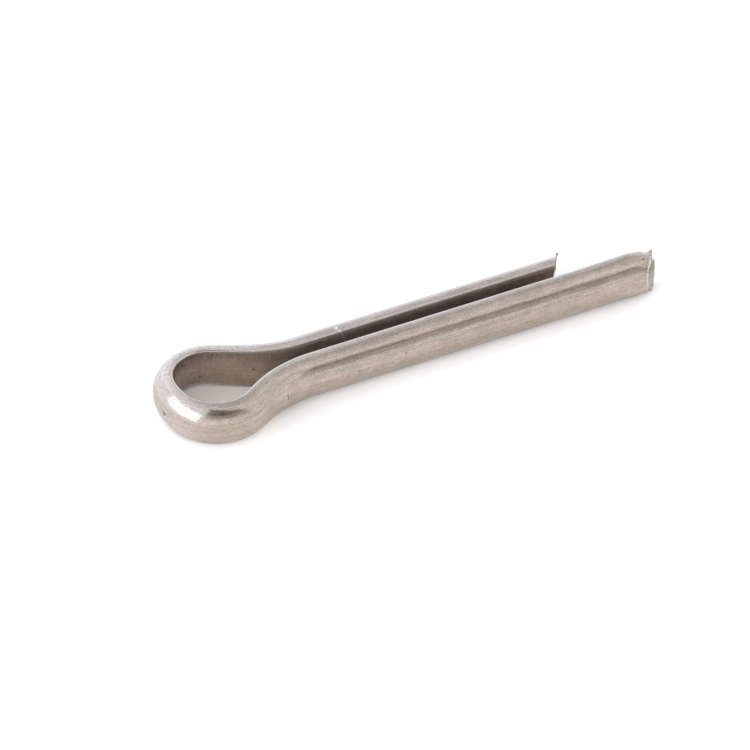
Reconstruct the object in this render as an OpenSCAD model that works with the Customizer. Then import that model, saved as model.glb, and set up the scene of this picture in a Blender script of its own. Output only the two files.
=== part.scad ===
// Cotter pin bent from one length of half-round wire.
// The flat of the wire faces inwards all the way round: it lines the eye, turns back through
// two reverse bends and runs down both legs, so that the closed legs make a nearly round shank.
// The pin lies on its side. +X runs from the eye to the tips, +Y from the long leg to the short
// one, and the origin is on the surface it lies on, below the middle of its outline.

/* [Wire] */
// Radius of the rounded back of the wire
back_r = 2.25; // [1.8:0.05:3]
// Thickness of the wire, from its flat to the crown of its back
wire_t = 2.15; // [1.6:0.05:2.4]
// Radius rolled along the two corners where the flat meets the back
corner_r = 0.25; // [0.1:0.05:0.5]

/* [Eye] */
// Radius of the inside of the eye
eye_r = 3.65; // [2.5:0.05:6]

/* [Legs] */
// Gap between the flats of the two legs
leg_gap = 1.4; // [0.3:0.1:3]
// Length over all, from the crown of the eye to the tip of the long leg
overall_len = 48.8; // [38:0.1:80]
// How far the long leg reaches past the short one
leg_step = 8.9; // [2:0.1:12]
// Angle of the sheared ends, away from square to the leg
shear_angle = 30; // [0:1:40]
// Length of the long leg's tip that curves in towards the other leg
tip_len = 9.6; // [4:0.1:12]
// Radius of that slight curve
tip_curve_r = 200; // [60:5:500]

/* [Hidden] */
$fn = 96;

// Wire section, its flat on x = 0: the back is a circle about (back_x, 0), each rolled corner is
// a circle about (corner_r, corner_y), and the wire is as high as the point where they cross.
back_x = wire_t - back_r;
corner_y = back_r - corner_r;
corner_d = norm([corner_r - back_x, corner_y]);
corner_cos = (pow(back_r, 2) + pow(corner_d, 2) - pow(corner_r, 2)) / (2 * back_r * corner_d);
cross_angle = atan2(corner_y, corner_r - back_x) + acos(min(corner_cos, 1));
half_height = back_r * sin(min(cross_angle, 90));

// The loop is set out on a 3-4-5 triangle, which gives every point where two bends meet an
// exact place. The centre of the eye is at (0, 0), the centre of each reverse bend stands
// 3 units along and 4 to the side, and 5 units are eye_r plus the reverse bend's radius.
leg_y = leg_gap / 2;
unit = eye_r - leg_y;
neck_x = 3 * unit;
neck_y = 4 * unit;
neck_r = 5 * unit - eye_r;

// Ends of the pin, measured from the centre of the eye
crown_x = eye_r + wire_t;
long_x = overall_len - crown_x;
short_x = long_x - leg_step;

// Wire left beyond each end for the shear to take off, and the block that takes it off
spare = wire_t * tan(shear_angle) + 1;
shear_size = 2 * (wire_t + back_r + spare);

// Curved tip of the long leg: where it starts, how far it swings, and how far in it ends
curve_x = long_x - tip_len;
curve_sweep = asin((tip_len + spare) / tip_curve_r);
curve_in = tip_curve_r - sqrt(pow(tip_curve_r, 2) - pow(tip_len, 2));

// Half-round section of the wire: a round bar cut to a flat that has rolled corners
module wire_section() {
    intersection() {
        translate([back_x, 0]) circle(back_r);
        union() {
            translate([0, -corner_y]) square([2 * back_r, 2 * corner_y]);
            translate([corner_r, -2 * back_r]) square([2 * back_r, 4 * back_r]);
            for (side = [-1, 1])
                translate([corner_r, side * corner_y]) circle(corner_r);
        }
    }
}

// Prism over the corner of the setting-out triangle at (0, 0), between the directions a and b
module sector(a, b) {
    reach = eye_r + neck_r + wire_t;
    translate([0, 0, -back_r - 1])
        linear_extrude(2 * back_r + 2)
            polygon([[0, 0], reach * a, reach * b]);
}

// Ring of the eye, open towards the legs between the two reverse bends
module eye() {
    difference() {
        rotate_extrude() translate([eye_r, 0]) wire_section();
        sector([3, 4], [3, -4]);
    }
}

// Reverse bend of the leg on the -Y side, with the flat on the outside of the bend
module neck() {
    translate([neck_x, -neck_y])
        intersection() {
            rotate_extrude() translate([neck_r, 0]) mirror([1, 0]) wire_section();
            sector([-3, 4], [0, 4]);
        }
}

// Straight wire along +X, its flat on the plane y = 0 and its back towards -Y
module straight(length) {
    rotate([0, 90, 0]) rotate([0, 0, -90])
        linear_extrude(length) wire_section();
}

// Slight bend of the long leg's tip, from (0, 0) on towards +X and +Y
module tip() {
    translate([0, tip_curve_r])
        rotate([0, 0, -90])
            rotate_extrude(angle = curve_sweep) translate([tip_curve_r, 0]) wire_section();
}

// Block that takes off all wire beyond a sheared end, which passes through (0, 0)
module shear() {
    rotate([0, 0, -shear_angle])
        translate([0, -shear_size / 2, -shear_size / 2]) cube(shear_size);
}

// Long leg, straight to curve_x, then curving in and sheared off at long_x
module long_leg() {
    neck();
    translate([neck_x, -leg_y]) straight(curve_x - neck_x);
    difference() {
        translate([curve_x, -leg_y]) tip();
        translate([long_x, curve_in - leg_y]) shear();
    }
}

// Short leg, built on the -Y side and mirrored into place by the caller
module short_leg() {
    neck();
    difference() {
        translate([neck_x, -leg_y]) straight(short_x - neck_x + spare);
        translate([short_x, -leg_y]) mirror([0, 1]) shear();
    }
}

module cotter_pin() {
    color([0.74, 0.72, 0.68])
        translate([crown_x - overall_len / 2, 0, half_height]) {
            eye();
            long_leg();
            mirror([0, 1]) short_leg();
        }
}

cotter_pin();
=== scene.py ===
import math
import bpy
from mathutils import Matrix, Vector


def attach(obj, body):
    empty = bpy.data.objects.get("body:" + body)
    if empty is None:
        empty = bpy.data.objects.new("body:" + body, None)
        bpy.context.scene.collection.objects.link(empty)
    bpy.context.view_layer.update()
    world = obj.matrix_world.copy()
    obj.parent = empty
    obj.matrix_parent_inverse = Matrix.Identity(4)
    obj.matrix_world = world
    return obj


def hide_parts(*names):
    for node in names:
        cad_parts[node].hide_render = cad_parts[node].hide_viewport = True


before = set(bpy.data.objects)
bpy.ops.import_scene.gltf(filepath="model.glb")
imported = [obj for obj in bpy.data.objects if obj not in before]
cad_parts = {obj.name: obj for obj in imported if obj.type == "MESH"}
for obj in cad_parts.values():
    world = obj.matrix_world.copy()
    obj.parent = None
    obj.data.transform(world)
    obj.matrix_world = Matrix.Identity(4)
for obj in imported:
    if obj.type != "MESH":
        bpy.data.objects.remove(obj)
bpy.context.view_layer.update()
mm = 0.001

# The pin is one length of half-round stainless wire. It is drawn through a die, so the flat and
# the two rolled corners run its whole length. This is that wire, straight, from the end that
# becomes the short leg to the end that becomes the long one, with its flat towards +Y.
back_radius = 2.25 * mm         # half the width across the flat
leg_thickness = 2.32 * mm       # flat to crown of the back, on the legs
eye_thickness = 1.82 * mm       # the same where the eye's tight bend has stretched the back
leg_corner = 0.09 * mm          # roll of the corners between flat and back
eye_corner = 0.40 * mm          # the same at the eye, for the corner that faces up
eye_foot = 1.15 * mm            # and for the corner that the pin lies on
leg_drop = 0.175 * mm           # how far the corners lie inside the widest part of the back
eye_drop = 0.04 * mm
stretch_reach = 13.5 * mm       # from the crown of the eye to where the wire has its full section
foot_reach = 20 * mm            # and to where its lower corner is as crisp as the others
half_gap = 0.725 * mm           # from the middle of the pin to the flat of either leg
short_tip_x = 15.53 * mm
long_tip_x = 24.97 * mm
crown_x = -22.12 * mm           # the flat at the crown of the eye
short_neck = 12.28 * mm         # from there to where the short leg runs straight
long_neck = 12.40 * mm          # and to where the long one does
crown_radius = 5.89 * mm        # the crown is flatter than the sides of the eye
crown_turn = 20.3               # degrees that it bends through
before_crown = 10               # how many of them come before the crown
tip_curve = 9.6 * mm            # the part of the long leg that leans in towards the short one
tip_radius = 150 * mm
spare = 3 * mm                  # wire beyond each end, to be sheared off
spans = 18                      # the wire is lofted through this many spans
rings_per_span = 20
circle_points = 96
flat_points = 24
roll_segments = 6
exact = 0.001 * mm              # how near to a plane counts as on it
weld = 0.0001 * mm              # how near to a cut a point is taken for one on it

# The bends, in the order that the wire meets them: (length, 0) for a straight stretch and
# (radius, degrees) for a bend, with a left-hand turn positive. The flat is on the left.
bends = [
    (short_tip_x - crown_x - short_neck, 0),                # the short leg
    (10.12 * mm, -28.39),                                   # its reverse bend at the neck
    (3.08 * mm, 0),
    (3.206 * mm, 110.2),                                    # the first side of the eye
    (crown_radius, crown_turn),                             # its crown
    (3.258 * mm, 108.6),                                    # the other side
    (1.40 * mm, 0),
    (12.2 * mm, -30.71),                                    # the long leg's reverse bend
    (long_tip_x - crown_x - long_neck - tip_curve, 0),      # the long leg
    (tip_radius, math.degrees(tip_curve / tip_radius)),     # its curved tip
]


def run_length(size, angle):
    """How much wire a straight stretch or a bend takes."""
    return abs(math.radians(angle)) * size if angle else size


wire_length = sum(run_length(*bend) for bend in bends)
to_crown = sum(run_length(*bend) for bend in bends[:4]) + run_length(crown_radius, before_crown)


def pick(piece, kind, test):
    """Opens a piece for editing with only the points, edges or faces that pass the test selected."""
    if bpy.context.object and bpy.context.object.mode == "EDIT":
        bpy.ops.object.mode_set(mode="OBJECT")
    bpy.ops.object.select_all(action="DESELECT")
    piece.select_set(True)
    bpy.context.view_layer.objects.active = piece
    bpy.context.tool_settings.mesh_select_mode = [kind == name for name in ("VERT", "EDGE", "FACE")]
    bpy.ops.object.mode_set(mode="EDIT")
    bpy.ops.mesh.select_all(action="DESELECT")
    bpy.ops.object.mode_set(mode="OBJECT")
    mesh = piece.data
    parts = {"VERT": mesh.vertices, "EDGE": mesh.edges, "FACE": mesh.polygons}[kind]
    for part in parts:
        if kind == "VERT":
            part.select = test(part.co)
        elif kind == "EDGE":
            part.select = test(*(mesh.vertices[i].co for i in part.vertices))
        else:
            part.select = test(part)
    bpy.ops.object.mode_set(mode="EDIT")


def away_from_crown(x, reach):
    """0 at the crown of the eye and 1 from the reach on, with a smooth step between."""
    share = min(abs(x - to_crown) / reach, 1)
    return share * share * (3 - 2 * share)


def section(x):
    """Outline of the wire's section at x, as a closed loop of edges."""
    full = away_from_crown(x, stretch_reach)
    thickness = eye_thickness + (leg_thickness - eye_thickness) * full
    corner = eye_corner + (leg_corner - eye_corner) * full
    drop = eye_drop + (leg_drop - eye_drop) * full
    foot = eye_foot + (leg_corner - eye_foot) * away_from_crown(x, foot_reach)
    bpy.ops.object.select_all(action="DESELECT")
    bpy.ops.mesh.primitive_circle_add(vertices=circle_points, radius=back_radius, fill_type="NGON",
                                      location=(x, 0, 0), rotation=(0, math.pi / 2, 0))
    outline = bpy.context.object
    bpy.ops.object.transform_apply()
    bpy.ops.object.mode_set(mode="EDIT")
    bpy.ops.mesh.select_all(action="SELECT")
    bpy.ops.mesh.bisect(plane_co=(0, 0, 0), plane_no=(0, 1, 0), clear_outer=True, threshold=weld)
    # the points beside each corner make room for its roll
    pick(outline, "VERT",
         lambda at: -1.1 * (eye_corner if at.z > 0 else eye_foot) < at.y < -exact)
    bpy.ops.mesh.dissolve_verts()
    bpy.ops.mesh.select_all(action="SELECT")
    bpy.ops.transform.resize(value=(1, thickness / back_radius, 1), center_override=(x, 0, 0))
    for side, roll in ((1, corner), (-1, foot)):
        pick(outline, "VERT", lambda at: at.y > -exact and at.z * side > 1.5 * mm)
        bpy.ops.transform.translate(value=(0, 0, -side * drop))
        bpy.ops.mesh.bevel(affect="VERTICES", offset=roll, segments=roll_segments)
    pick(outline, "EDGE",
         lambda a, b: a.y > -exact and b.y > -exact and (a - b).length > back_radius)
    bpy.ops.mesh.subdivide(number_cuts=flat_points - 1)
    bpy.ops.mesh.select_all(action="SELECT")
    bpy.ops.mesh.delete(type="ONLY_FACE")
    bpy.ops.object.mode_set(mode="OBJECT")
    return outline


span = (wire_length + 2 * spare) / spans
outlines = [section(-spare + i * span) for i in range(spans + 1)]
bpy.ops.object.select_all(action="DESELECT")
for outline in outlines:
    outline.select_set(True)
wire = outlines[0]
bpy.context.view_layer.objects.active = wire
bpy.ops.object.join()
wire.name = wire.data.name = "wire"
bpy.ops.object.mode_set(mode="EDIT")
bpy.ops.mesh.select_all(action="SELECT")
bpy.ops.mesh.bridge_edge_loops(type="SINGLE", number_cuts=rings_per_span - 1, interpolation="LINEAR")
bpy.ops.object.mode_set(mode="OBJECT")

# The wire is sheared to length at both ends, askew to its run. Each cut leaves a narrow lip
# round a flat face, and close rings behind it carry the damage that the shear does.
shear_long = math.radians(40)
shear_short = math.radians(34)
short_lean = math.radians(6.5)          # the short end also leans over, from its top edge down
short_pivot = 2 * mm                    # height of that edge
long_lip = 0.09 * mm
short_lip = 0.05 * mm
end_rings = (0.12 * mm, 0.26 * mm, 0.42 * mm, 0.62 * mm, 0.86 * mm, 1.12 * mm, 1.4 * mm, 1.7 * mm)
face_rings = (0.90, 0.87, 0.83, 0.78, 0.70, 0.55)
face_middle = 0.45 * leg_thickness      # below the flat
long_end = Vector((wire_length, 0, 0))
long_out = Vector((math.cos(shear_long), -math.sin(shear_long), 0))
short_end = Vector((0, 0, short_pivot))
short_out = Vector((-math.cos(shear_short), math.sin(shear_short),
                    -math.tan(short_lean) * math.cos(shear_short)))
short_out.normalize()
for end, out in ((long_end, long_out), (short_end, short_out)):
    pick(wire, "FACE", lambda face: True)
    bpy.ops.mesh.bisect(plane_co=end, plane_no=out, clear_outer=True, use_fill=True, threshold=weld)
    for step in end_rings:
        bpy.ops.mesh.select_all(action="SELECT")
        bpy.ops.mesh.bisect(plane_co=end - step * out, plane_no=out, threshold=weld)
bpy.ops.mesh.select_all(action="SELECT")
bpy.ops.mesh.normals_make_consistent(inside=False)


def beyond(at, end, out):
    """How far a place is beyond a sheared end; less than 0 inside the wire."""
    return (at - end).dot(out)


for end, out, lip_width, slope in ((long_end, long_out, long_lip, -math.tan(shear_long)),
                                   (short_end, short_out, short_lip, math.tan(shear_short))):
    pick(wire, "EDGE",
         lambda a, b: abs(beyond(a, end, out)) < exact and abs(beyond(b, end, out)) < exact)
    bpy.ops.mesh.bevel(offset=lip_width, segments=3, affect="EDGES", clamp_overlap=True)
    pick(wire, "FACE", lambda face: len(face.vertices) > 20 and face.normal.dot(out) > 0.9)
    middle = end + Vector((face_middle * slope, -face_middle, -end.z))
    for shrink in face_rings:
        bpy.ops.mesh.extrude_region_move()
        bpy.ops.transform.resize(value=(shrink, shrink, shrink), center_override=middle)
    bpy.ops.mesh.poke()
    bpy.ops.object.mode_set(mode="OBJECT")

# Shearing tears the metal. Below the flat, the break on both faces is rough.
smooth_shear = 0.3 * mm                 # this far below the flat the cut is still clean
break_reach = 0.17 * mm                 # how deep behind the face the roughness reaches
pick(wire, "VERT", lambda at: at.y < -smooth_shear
     and max(beyond(at, long_end, long_out), beyond(at, short_end, short_out)) > -break_reach)
wire.vertex_groups.new(name="ends")
bpy.ops.object.vertex_group_assign()
bpy.ops.object.mode_set(mode="OBJECT")
break_texture = bpy.data.textures.new("break", "CLOUDS")
break_texture.noise_scale = 0.45 * mm
break_texture.noise_depth = 2
roughen = wire.modifiers.new("roughen", "DISPLACE")
roughen.texture = break_texture
roughen.texture_coords = "LOCAL"
roughen.vertex_group = "ends"
roughen.direction = "X"
roughen.strength = 0.3 * mm
bpy.ops.object.modifier_apply(modifier="roughen")


def push(at, by, reach, core, falloff="SMOOTH"):
    """Moves the surface at a place, and less of it further out, up to the reach, in millimetres."""
    at = Vector(at) * mm
    at = min((vertex.co for vertex in wire.data.vertices), key=lambda point: (point - at).length).copy()
    pick(wire, "VERT", lambda point: (point - at).length < core * mm)
    bpy.ops.transform.translate(value=Vector(by) * mm, use_proportional_edit=True,
                                proportional_edit_falloff=falloff, proportional_size=reach * mm,
                                use_proportional_connected=False)


# The long end: its top corner is pressed down and the edge below that pushed back, the back's
# upper edge is pushed in along the wire, a spike is pulled up, the back bulges a little and the
# bottom corner is rounded.
end_x = wire_length / mm
flat_corner = 2.1                       # half the height of the flat, in millimetres
push((end_x, 0, flat_corner), (0, -0.05, -0.46), 3.0, core=0.25)
push((end_x, -0.05, 1.58), (-0.40, -0.06, -0.20), 1.5, core=0.3)
push((end_x - 1.12, -1.35, 1.65), (-0.33, 0, 0), 0.9, core=0.25)
push((end_x - 0.70, -0.46, 1.50), (0.09, 0, 0.24), 0.75, core=0.22, falloff="SHARP")
push((end_x - 1.5, -1.6, -1.2), (0, -0.14, -0.02), 4.0, core=0.5)
push((end_x, 0, -flat_corner), (-0.42, -0.05, 0.32), 0.7, core=0.3)

# The short end: a flake that stands up off the top and is rolled into a small bead.
flake = Vector((-1.00, -1.55, 1.67))
lift = Vector((-0.04, 0, 0.08))
push(flake, lift, 0.35, core=0.12, falloff="SHARP")
bead = (flake + lift) * mm
bead_foot = 0.13 * mm
bead_axis = Vector((-0.25, 0, 0.95))
bead_steps = ((0.05, 0.8, 0.9), (0.03, 1, 1), (0.05, 1.9, 1.3), (0.09, 1, 1), (0.04, 0.6, 1))
pick(wire, "FACE", lambda face: (face.center - bead).length < bead_foot and face.normal.z > 0.3)
for rise, spread, wide in bead_steps:
    bpy.ops.mesh.extrude_region_move(TRANSFORM_OT_translate={"value": bead_axis * rise * mm})
    bpy.ops.transform.resize(value=(spread * wide, spread, spread))
bpy.ops.object.mode_set(mode="OBJECT")

# every point keeps its place on the straight wire, for the marks that follow the drawing
drawn_place = wire.data.attributes.new("drawn", "FLOAT_VECTOR", "POINT")
for vertex in wire.data.vertices:
    drawn_place.data[vertex.index].vector = vertex.co

# The straight wire is bent over a former, from the tip of the short leg round the eye to the tip
# of the long one. The former is a curve along the flat, with the bends listed above.
longest_arc = 30                        # degrees that one piece of the curve turns at most
curve_steps = 48
crease = math.radians(35)
place = Vector((short_tip_x, half_gap, 0))
heading = math.pi
knots = [[place, place, place]]
for size, angle in bends:
    arcs = max(1, math.ceil(abs(angle) / longest_arc))
    for arc in range(arcs):
        outward = Vector((math.cos(heading), math.sin(heading), 0))
        if angle:
            turn = math.radians(angle) / arcs
            reach = 4 / 3 * math.tan(abs(turn) / 4) * size
            centre = place + math.copysign(size, turn) * Vector((-outward.y, outward.x, 0))
            next_place = centre + Matrix.Rotation(turn, 3, "Z") @ (place - centre)
        else:
            turn = 0
            reach = size / 3
            next_place = place + size * outward
        heading += turn
        inward = Vector((math.cos(heading), math.sin(heading), 0))
        knots[-1][2] = place + reach * outward
        knots.append([next_place, next_place - reach * inward, next_place])
        place = next_place

bpy.ops.object.select_all(action="DESELECT")
bpy.ops.curve.primitive_bezier_curve_add(location=(0, 0, 0))
former = bpy.context.object
former.data.dimensions = "3D"
former.data.twist_mode = "Z_UP"
former.data.resolution_u = curve_steps
spline = former.data.splines[0]
spline.bezier_points.add(len(knots) - 2)
for knot, (at, back, on) in zip(spline.bezier_points, knots):
    knot.handle_left_type = knot.handle_right_type = "FREE"
    knot.co = at
    knot.handle_left = back
    knot.handle_right = on

wire.location = (0, 0, 0)
bend = wire.modifiers.new("bend", "CURVE")
bend.object = former
bend.deform_axis = "POS_X"
bpy.ops.object.select_all(action="DESELECT")
wire.select_set(True)
bpy.context.view_layer.objects.active = wire
bpy.ops.object.modifier_apply(modifier="bend")
bpy.data.objects.remove(former)
# the pin lies on its side
wire.location = (0, 0, -min(vertex.co.z for vertex in wire.data.vertices))
bpy.ops.object.transform_apply()
bpy.ops.object.shade_smooth_by_angle(angle=crease)
even = wire.modifiers.new("even", "WEIGHTED_NORMAL")
even.keep_sharp = True
bpy.ops.object.modifier_apply(modifier="even")

# Bright drawn stainless steel. The die leaves fine lines along the wire, handling leaves stains, pits and
# scratches, and the back of the eye is rubbed bright. The colour also holds painted light and shade:
# painted light on the back of the eye, painted highlights along the upper corners and the long end's lip,
# and painted shade on the flat, low on the back and in bands near the rims. Everything is placed on the
# straight wire, in millimetres: along it, in depth from the flat (negative) and across it.


class Value:
    """The value of a socket, in expressions that add their own Math nodes."""

    def __init__(self, socket):
        self.socket = socket

    def node(self, kind, settings, sockets, output=0):
        """Adds a node to the same tree, set up and linked, and gives the value of one output."""
        tree = self.socket.id_data
        added = tree.nodes.new(kind)
        for name, setting in settings.items():
            setattr(added, name, setting)
        for name, value in sockets.items():
            if isinstance(value, Value):
                tree.links.new(value.socket, added.inputs[name])
            else:
                added.inputs[name].default_value = value
        return Value(added.outputs[output])

    def math(self, operation, *values):
        return self.node("ShaderNodeMath", {"operation": operation}, dict(enumerate(values)))

    def __add__(self, other):
        return self.math("ADD", self, other)

    def __radd__(self, other):
        return self.math("ADD", other, self)

    def __sub__(self, other):
        return self.math("SUBTRACT", self, other)

    def __rsub__(self, other):
        return self.math("SUBTRACT", other, self)

    def __mul__(self, other):
        return self.math("MULTIPLY", self, other)

    def __rmul__(self, other):
        return self.math("MULTIPLY", other, self)

    def larger(self, other):
        return self.math("MAXIMUM", self, other)

    def size(self):
        return self.math("ABSOLUTE", self)

    def rise(self, start, end):
        """0 up to start and 1 from end on, with a smooth step between."""
        return self.node("ShaderNodeMapRange", {"interpolation_type": "SMOOTHSTEP"},
                         {"Value": self, "From Min": start, "From Max": end})

    def band(self, middle, half_width):
        """1 where the value is at the middle of a band, and 0 outside it."""
        return (self - middle).size().rise(half_width, half_width * 0.4)

    def colour(self, low, high):
        """A colour from low to high as the value goes from 0 to 1."""
        low, high = ((*shade, 1) if isinstance(shade, tuple) else shade for shade in (low, high))
        return self.node("ShaderNodeMix", {"data_type": "RGBA", "clamp_factor": True},
                         {0: self, 6: low, 7: high}, output=2)

    def vector(self, operation, other, output="Vector"):
        """Vector Math with this vector and another one, or with a scale."""
        second = "Scale" if operation == "SCALE" else 1
        return self.node("ShaderNodeVectorMath", {"operation": operation}, {0: self, second: other}, output)

    def part(self, axis):
        """The X, Y or Z part of a vector."""
        return self.node("ShaderNodeSeparateXYZ", {}, {0: self}, output=axis)

    def noise(self, scale, detail, rough=0.5, offset=0.0, output=0):
        """Noise with so many features to a unit along each axis, about 0.5."""
        spot = self.node("ShaderNodeMapping", {}, {"Vector": self, "Scale": scale,
                                                   "Location": (offset, offset, offset)})
        return spot.node("ShaderNodeTexNoise", {"noise_dimensions": "3D"},
                         {"Vector": spot, "Scale": 1.0, "Detail": detail, "Roughness": rough}, output)


steel = bpy.data.materials.new("steel")
steel.use_nodes = True
shader = steel.node_tree.nodes["Principled BSDF"]
drawn = Value(steel.node_tree.nodes.new("ShaderNodeAttribute").outputs["Vector"])
drawn.socket.node.attribute_name = "drawn"
drawn = drawn.vector("SCALE", 1 / mm)
along = drawn.part("X")
depth = drawn.part("Y")
across = drawn.part("Z")
crown = to_crown / mm
flat = depth.rise(-0.03, -0.005)
# far is the half of the wire that ends in the short leg, and near the one with the long leg
far_half = along.rise(crown + 1.0, crown - 3.0)
on_eye = along.band(crown, 13.0)

# grain of the drawing, from long fine lines to short specks, and the stains between them
lines = drawn.noise((0.10, 5.0, 5.0), 3.0)
hairs = drawn.noise((0.35, 12.0, 12.0), 2.0, offset=5.0)
streaks = drawn.noise((0.10, 1.5, 1.5), 4.0, offset=7.0)
blotch = drawn.noise((0.7, 0.9, 0.9), 5.0, rough=0.6, offset=3.0)
mottle = drawn.noise((2.2, 2.8, 2.8), 3.0, rough=0.65, offset=17.0)
grain = drawn.noise((6.0, 8.0, 8.0), 2.0, offset=11.0)
hue = drawn.noise((1.4, 2.6, 2.6), 4.0, offset=23.0)
crossing = drawn.noise((7.0, 7.0, 1.1), 3.0, rough=0.6)
torn = drawn.noise((4.0, 4.0, 1.1), 4.0, rough=0.7)

# the back is warmer or cooler in patches, and the flat is darker
back_colour = blotch.rise(0.3, 0.7).colour((0.47, 0.40, 0.345), (0.56, 0.49, 0.435))
warm = hue.rise(0.52, 0.68).colour(back_colour, (0.56, 0.455, 0.425))
cool = hue.rise(0.48, 0.32).colour(warm, (0.475, 0.435, 0.375))
flat_colour = blotch.rise(0.3, 0.7).colour((0.40, 0.315, 0.26), (0.49, 0.395, 0.335))

# the back of the eye is rubbed bright, and painted light is laid over that: lighter on the far half and
# lightest low down
crown_bend = along.rise(27.0, 33.0) * along.rise(44.6, 42.4)
worn_top_and_painted_light = far_half.colour((0.55, 0.485, 0.445), (0.63, 0.575, 0.55))
worn_and_painted_light_colour = across.rise(1.2, -0.6).colour(worn_top_and_painted_light, (0.67, 0.61, 0.585))
worn_and_painted_light = (crown_bend * mottle.rise(0.25, 0.5)).colour(cool, worn_and_painted_light_colour)

# the corners that face up carry a painted highlight along their roll, brightest on the long leg
corner_painted_highlight = (depth + on_eye * 0.12).rise(-0.26, -0.17) * across.rise(1.7, 1.95)
near_corner_highlight = on_eye.colour((0.72, 0.66, 0.60), (0.64, 0.59, 0.55))
corner_highlight_colour = far_half.colour(near_corner_highlight, (0.60, 0.54, 0.49))
surface = corner_painted_highlight.colour(flat.colour(worn_and_painted_light, flat_colour), corner_highlight_colour)

# the sheared ends are dull broken metal, olive in places. Round the long one runs a burnished lip that
# carries a painted highlight, strongest towards the top, with a painted shade in a slit behind it
long_face = (along - wire_length / mm) * math.cos(shear_long) - depth * math.sin(shear_long)
leaning = along + (across - short_pivot / mm) * math.tan(short_lean)
short_face = depth * math.sin(shear_short) - leaning * math.cos(shear_short)
broken = long_face.rise(-0.10, -0.05)
short_broken = short_face.rise(-0.10, -0.05) * across.rise(1.75, 1.5)
short_colour = depth.rise(-1.1, -0.6).colour((0.26, 0.225, 0.21), (0.12, 0.095, 0.085))
surface = short_broken.colour(surface, short_colour)
olive = (across + depth * 0.5 + (torn - 0.5) * 1.4).band(0.1, 1.1)
surface = broken.colour(surface, olive.colour((0.30, 0.26, 0.255), (0.20, 0.17, 0.12)))
wavering = long_face + (torn - 0.5) * 0.45
# painted highlight on the burnished lip, strongest towards the top
lip = wavering.band(-0.13, 0.08) * mottle.rise(0.42, 0.6) * (across.rise(-0.5, 0.3) * 0.6 + 0.4)
surface = lip.colour(surface, (0.80, 0.75, 0.70))
# painted shade in the slit behind the lip
lip_shade = wavering.band(-0.28, 0.08) * mottle.rise(0.55, 0.4)
surface = (lip_shade * 0.6).colour(surface, (0.14, 0.11, 0.09))

# pits, nicks and specks, each by its place (along, depth, across) and radius
shake = mottle.socket.node.outputs["Color"]
ragged = drawn.vector("ADD", Value(shake).vector("SCALE", 0.25)).vector("SUBTRACT", (0.125, 0.125, 0.125))


def spot(x, y, z, radius, soft=0.5):
    """1 at a place on the wire and 0 outside a ragged ring about it."""
    return ragged.vector("DISTANCE", (x, y, z), output="Value").rise(radius, radius * soft)


crown_pit = (40.97, -1.84, 0.03, 0.34)
eye_specks = ((34.50, 0.0, -0.70, 0.13), (31.61, -0.08, 2.12, 0.16))
neck_nick = ((51.44, -2.17, 0.42, 0.17), (51.46, -2.20, 0.24, 0.18), (51.44, -2.24, 0.04, 0.17))
long_leg_pit = (64.32, -2.23, 0.61, 0.15)
long_end_marks = ((88.66, -1.27, 1.80, 0.22), (88.9, -1.79, 1.43, 0.16), (90.6, -0.12, 1.3, 0.22))
bead_mark = (-1.08, -1.55, 1.97, 0.30)
scrape_specks = ((21.47, -0.62, 2.15, 0.13), (20.95, -0.85, 2.09, 0.10))
marked = spot(*crown_pit)
for mark in (*eye_specks, *neck_nick, long_leg_pit, *long_end_marks, bead_mark, *scrape_specks):
    marked = marked.larger(spot(*mark))
surface = (marked * 0.95).colour(surface, (0.07, 0.05, 0.045))
# a speck of rust inside the eye
rust = spot(29.67, 0.0, 0.08, 0.18)
surface = (rust * 0.85).colour(surface, (0.19, 0.085, 0.03))

# a bright scrape across the short leg, rubbed spots beside it and one on the long leg
scrape = ((along + flat * (1.98 - across) * 0.36 + depth * 0.36).band(21.31, 0.06)
          * across.rise(0.8, 0.9) * depth.rise(-0.9, -0.7))
rubbed = (spot(21.41, -0.10, 2.10, 0.20) + spot(21.60, -0.52, 2.16, 0.28) * 0.6
          + spot(59.35, -2.31, 0.21, 0.14) * 0.4)
surface = scrape.larger(rubbed).colour(surface, (0.80, 0.76, 0.74))

# light and dark, as the share that each pattern or mark adds to or takes from the colour
off_middle = across.size()
circling = off_middle.band(1.42, 0.035) + off_middle.band(1.62, 0.03) + off_middle.band(1.80, 0.03)
circling = circling * on_eye * (1.0 - flat)
# painted shade: a darker band on the upper back just behind the corner, on the near half of the eye
near_rim_painted_shade = depth.band(-0.75, 0.5) * along.band(crown + 5.2, 4.5) * across.rise(0.8, 1.2)
crown_shade = flat * along.band(crown - 4.0, 3.4)
# painted shade low on the back, where it faces the table
belly_painted_shade = across.rise(-1.2, -1.7) * (1.0 - flat)
hairline = flat * (along - across * 0.8).band(30.3, 0.035) * across.band(1.0, 0.9)
# painted shade in a thin line along the top of the back, just behind the corner, on the far half
far_top_painted_shade = depth.band(-0.62, 0.10) * far_half * across.rise(1.5, 1.8)
stain = spot(51.10, -2.20, 0.15, 0.5, soft=0.4)
pepper = grain.rise(0.36, 0.26)
tone = 1.0
for pattern, share in ((lines, 0.40 - on_eye * 0.12), (hairs, 0.52 - on_eye * 0.15), (streaks, 0.30),
                       (mottle, 0.32), (grain, 0.55), (crossing, flat * (on_eye * 0.4 + 0.4))):
    tone = tone + (pattern - 0.5) * share
for darker, share in ((circling * streaks.rise(0.45, 0.6), 0.20), (far_top_painted_shade, 0.12), (near_rim_painted_shade, 0.07),
                      (crown_shade, 0.14), (pepper, 0.20), (belly_painted_shade, 0.20),
                      # painted shade: the flat darkens towards its top, in the slot and in the eye
                      (flat * across.rise(0.0, 2.0), on_eye * 0.12 + 0.45)):
    tone = tone - darker * share
for lighter, share in ((hairline, 0.15), (stain, 0.06)):
    tone = tone + lighter * share
toned = surface.vector("SCALE", tone)

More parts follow.
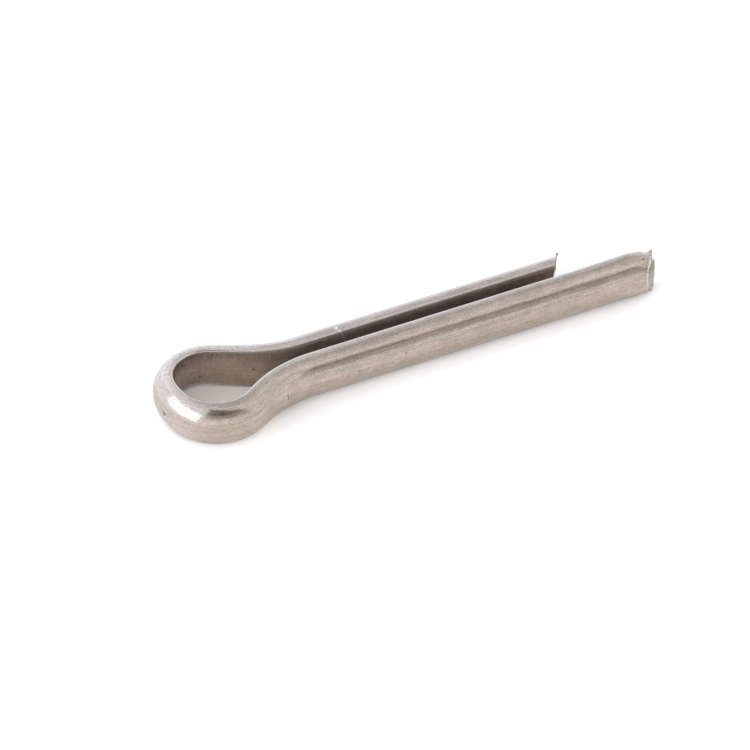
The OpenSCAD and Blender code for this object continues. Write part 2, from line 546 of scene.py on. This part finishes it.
metal = 1.0 - flat * 0.16 - broken * 0.3 - marked * 0.85 - short_broken * 0.3
rough = (0.14 + flat * 0.22 + broken * 0.25 + marked * 0.3 + (grain - 0.5) * 0.12 + (blotch - 0.5) * 0.10
         + (mottle - 0.5) * 0.08)
height = ((lines - 0.5) * 0.6 + (hairs - 0.5) * (0.6 - on_eye * 0.3) + (streaks - 0.5) * 0.9
          + (mottle - 0.5) * 0.5 + (grain - 0.5) * 0.25
          - circling * 0.3 - marked * 1.2 - rust * 0.8 - scrape * 0.5)
bumped = height.node("ShaderNodeBump", {}, {"Height": height, "Strength": 0.33, "Distance": 0.02 * mm})
for name, value in (("Base Color", toned), ("Metallic", metal), ("Roughness", rough), ("Normal", bumped)):
    steel.node_tree.links.new(value.socket, shader.inputs[name])

wire.data.materials.clear()
wire.data.materials.append(steel)
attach(wire, "root")
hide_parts("cotter_pin")

# The camera stands well back with a long lens, on the long leg's side and towards the eye, and
# looks down on the pin. The directions of the light below are given from it.
elevation = math.radians(38)
azimuth = math.radians(26.83)
aim = Vector((-5.957, -6.284, 4.17)) * mm
distance = 2.0
frame_width = 66.45 * mm
sensor = 36
to_camera = Vector((-math.sin(azimuth) * math.cos(elevation), -math.cos(azimuth) * math.cos(elevation),
                    math.sin(elevation)))
camera = bpy.data.objects.new("camera", bpy.data.cameras.new("camera"))
bpy.context.scene.collection.objects.link(camera)
camera.data.sensor_width = sensor
camera.data.lens = sensor * distance / frame_width
camera.data.clip_start = 0.05
camera.data.clip_end = 10
camera.location = aim + to_camera * distance
camera.rotation_euler = (-to_camera).to_track_quat("-Z", "Y").to_euler()
bpy.context.scene.camera = camera
bpy.context.scene.view_settings.view_transform = "Standard"

# The pin lies on a plain pale table. The camera sees it in one tint, with painted light behind the pin and
# a warm painted light inside the eye. The light it bounces onto the steel comes in darker tints, with
# painted shade far in front, painted light behind and a warm painted bounce inside the eye.
table_size = 3
eye_centre = (-17 * mm, 0, 0)
bpy.ops.object.select_all(action="DESELECT")
bpy.ops.mesh.primitive_plane_add(size=table_size, location=(0, 0, 0))
floor = bpy.context.object
floor.name = "floor"
white = bpy.data.materials.new("white")
white.use_nodes = True
shade = white.node_tree.nodes["Principled BSDF"]
shade.inputs["Specular IOR Level"].default_value = 0
shade.inputs["Roughness"].default_value = 1
rays = white.node_tree.nodes.new("ShaderNodeLightPath")
camera_ray = Value(rays.outputs["Is Camera Ray"])
spread = Value(white.node_tree.nodes.new("ShaderNodeTexCoord").outputs["Object"])
in_eye = spread.vector("DISTANCE", eye_centre, output="Value").rise(5.4 * mm, 3.6 * mm)
floor_y = spread.part("Y")
# painted shade far in front and painted light behind and in the eye, in the light that the table bounces
# onto the steel
painted_bounce = floor_y.rise(-14 * mm, -40 * mm).colour((0.475, 0.457, 0.444), (0.36, 0.35, 0.345))
painted_bounce = floor_y.rise(7 * mm, 13 * mm).colour(painted_bounce, (0.56, 0.56, 0.57))
painted_bounce = in_eye.colour(painted_bounce, (0.58, 0.54, 0.50))
# painted light where the camera sees the table behind the pin and inside the eye
painted_view = floor_y.rise(-2 * mm, 2 * mm).colour((0.568, 0.561, 0.561), (0.65, 0.65, 0.65))
painted_view = in_eye.colour(painted_view, (0.76, 0.69, 0.64))
tint = camera_ray.colour(painted_bounce, painted_view)
white.node_tree.links.new(tint.socket, shade.inputs["Base Color"])
floor.data.materials.append(white)

# The studio is a white tent, lit from all round. The steel reflects its darker and brighter parts:
# an overhead softbox that ends in a straight edge in front, with a dark room below that edge.
world = bpy.data.worlds.new("studio")
bpy.context.scene.world = world
world.use_nodes = True
background = world.node_tree.nodes["Background"]
direction = Value(world.node_tree.nodes.new("ShaderNodeTexCoord").outputs["Generated"])
height_up = direction.part("Z")


def towards(right, up):
    """Direction right degrees to the right of the camera and up degrees above the table."""
    turn = azimuth - math.radians(right)
    up = math.radians(up)
    return Vector((-math.sin(turn) * math.cos(up), -math.cos(turn) * math.cos(up), math.sin(up)))


def sine(angle):
    """Height of a direction so many degrees up."""
    return math.sin(math.radians(angle))


def patch(right, up, outer, inner):
    """A soft round patch of the tent: 0 outside the outer angle and 1 inside the inner one."""
    nearness = direction.vector("DOT_PRODUCT", towards(right, up), output="Value")
    return nearness.rise(math.cos(math.radians(outer)), math.cos(math.radians(inner)))


def half(right, outer, inner):
    """Half of the tent: 1 on the side that faces a level direction, with an edge between two angles."""
    nearness = direction.vector("DOT_PRODUCT", towards(right, 0), output="Value")
    return nearness.rise(sine(outer), sine(inner))


brink = (Vector((0, 0, 1)) - 2.58 * towards(-2.5, 0)).normalized()
past_edge = direction.vector("DOT_PRODUCT", brink, output="Value")
below_edge = past_edge.rise(sine(1), sine(-1))
sides = below_edge * height_up.rise(sine(17), sine(29)) * half(64, 0, 6) * half(-22, -3, 5)
dark = sides * (height_up.rise(sine(34), sine(46)) * 0.40 + 0.60)
darkest = sides * half(-50, -4, 8)
rim = patch(62, 52, 22, 4) * past_edge.rise(sine(-1), sine(1))
left = patch(-90, 36, 76, 40)
over = patch(180, 64, 42, 10)
horizon = patch(50, 1, 15, 4)
overhead = height_up.rise(sine(52), sine(72))
front_low = patch(-4, 12, 34, 12)
back_low = patch(180, 8, 60, 20)
level = (1.0 - dark * 0.60 - darkest * 0.20 + rim * 0.08 + left * 0.27 - over * 0.24 - horizon * 0.10
         - overhead * 0.08 + front_low * 0.16 + back_low * 0.13)
warmed = dark.colour((1, 1, 1), (1, 0.93, 0.88))
cooled = (back_low + left * 0.7).colour(warmed, (0.95, 1.0, 1.08))
# straight from the camera the tent is plain white
seen = direction.node("ShaderNodeLightPath", {}, {}, output="Is Camera Ray")
light = level + seen * (1.0 - level)
shown = seen.colour(cooled, (1, 1, 1))
world.node_tree.links.new(light.socket, background.inputs["Strength"])
world.node_tree.links.new(shown.socket, background.inputs["Color"])

# One softbox makes the highlight on the eye. Four long low ones and one high in front light the
# table round the pin, so that its shadow stays close to it; the steel doesn't show these.
lamp_target = Vector((-18 * mm, 0, 2 * mm))
fill_away = 0.5
fill_width = 0.5
fill_height = 0.12


def softbox(name, right, up, away, width, height, radiance, colour):
    """Rectangular lamp facing the eye of the pin."""
    lamp = bpy.data.lights.new(name, "AREA")
    lamp.shape = "RECTANGLE"
    lamp.size = width
    lamp.size_y = height
    lamp.color = colour
    lamp.energy = radiance * width * height * math.pi
    box = bpy.data.objects.new(name, lamp)
    bpy.context.scene.collection.objects.link(box)
    box.location = lamp_target + away * towards(right, up)
    box.rotation_euler = (-towards(right, up)).to_track_quat("-Z", "Y").to_euler()
    return box


softbox("key", -68, 22, 0.30, 0.40, 0.21, 1.05, (0.94, 1.0, 1.05))
for name, right, up, radiance in (("front left", -45, 16, 24), ("front right", 45, 16, 22),
                                  ("back right", 135, 12, 12), ("back left", -135, 12, 6)):
    low = softbox(name, right, up, fill_away, fill_width, fill_height, radiance, (1, 1, 1))
    low.visible_glossy = False
front_top = softbox("front top", 0, 52, fill_away, 0.3, 0.3, 2.8, (1, 1, 1))
front_top.visible_glossy = False
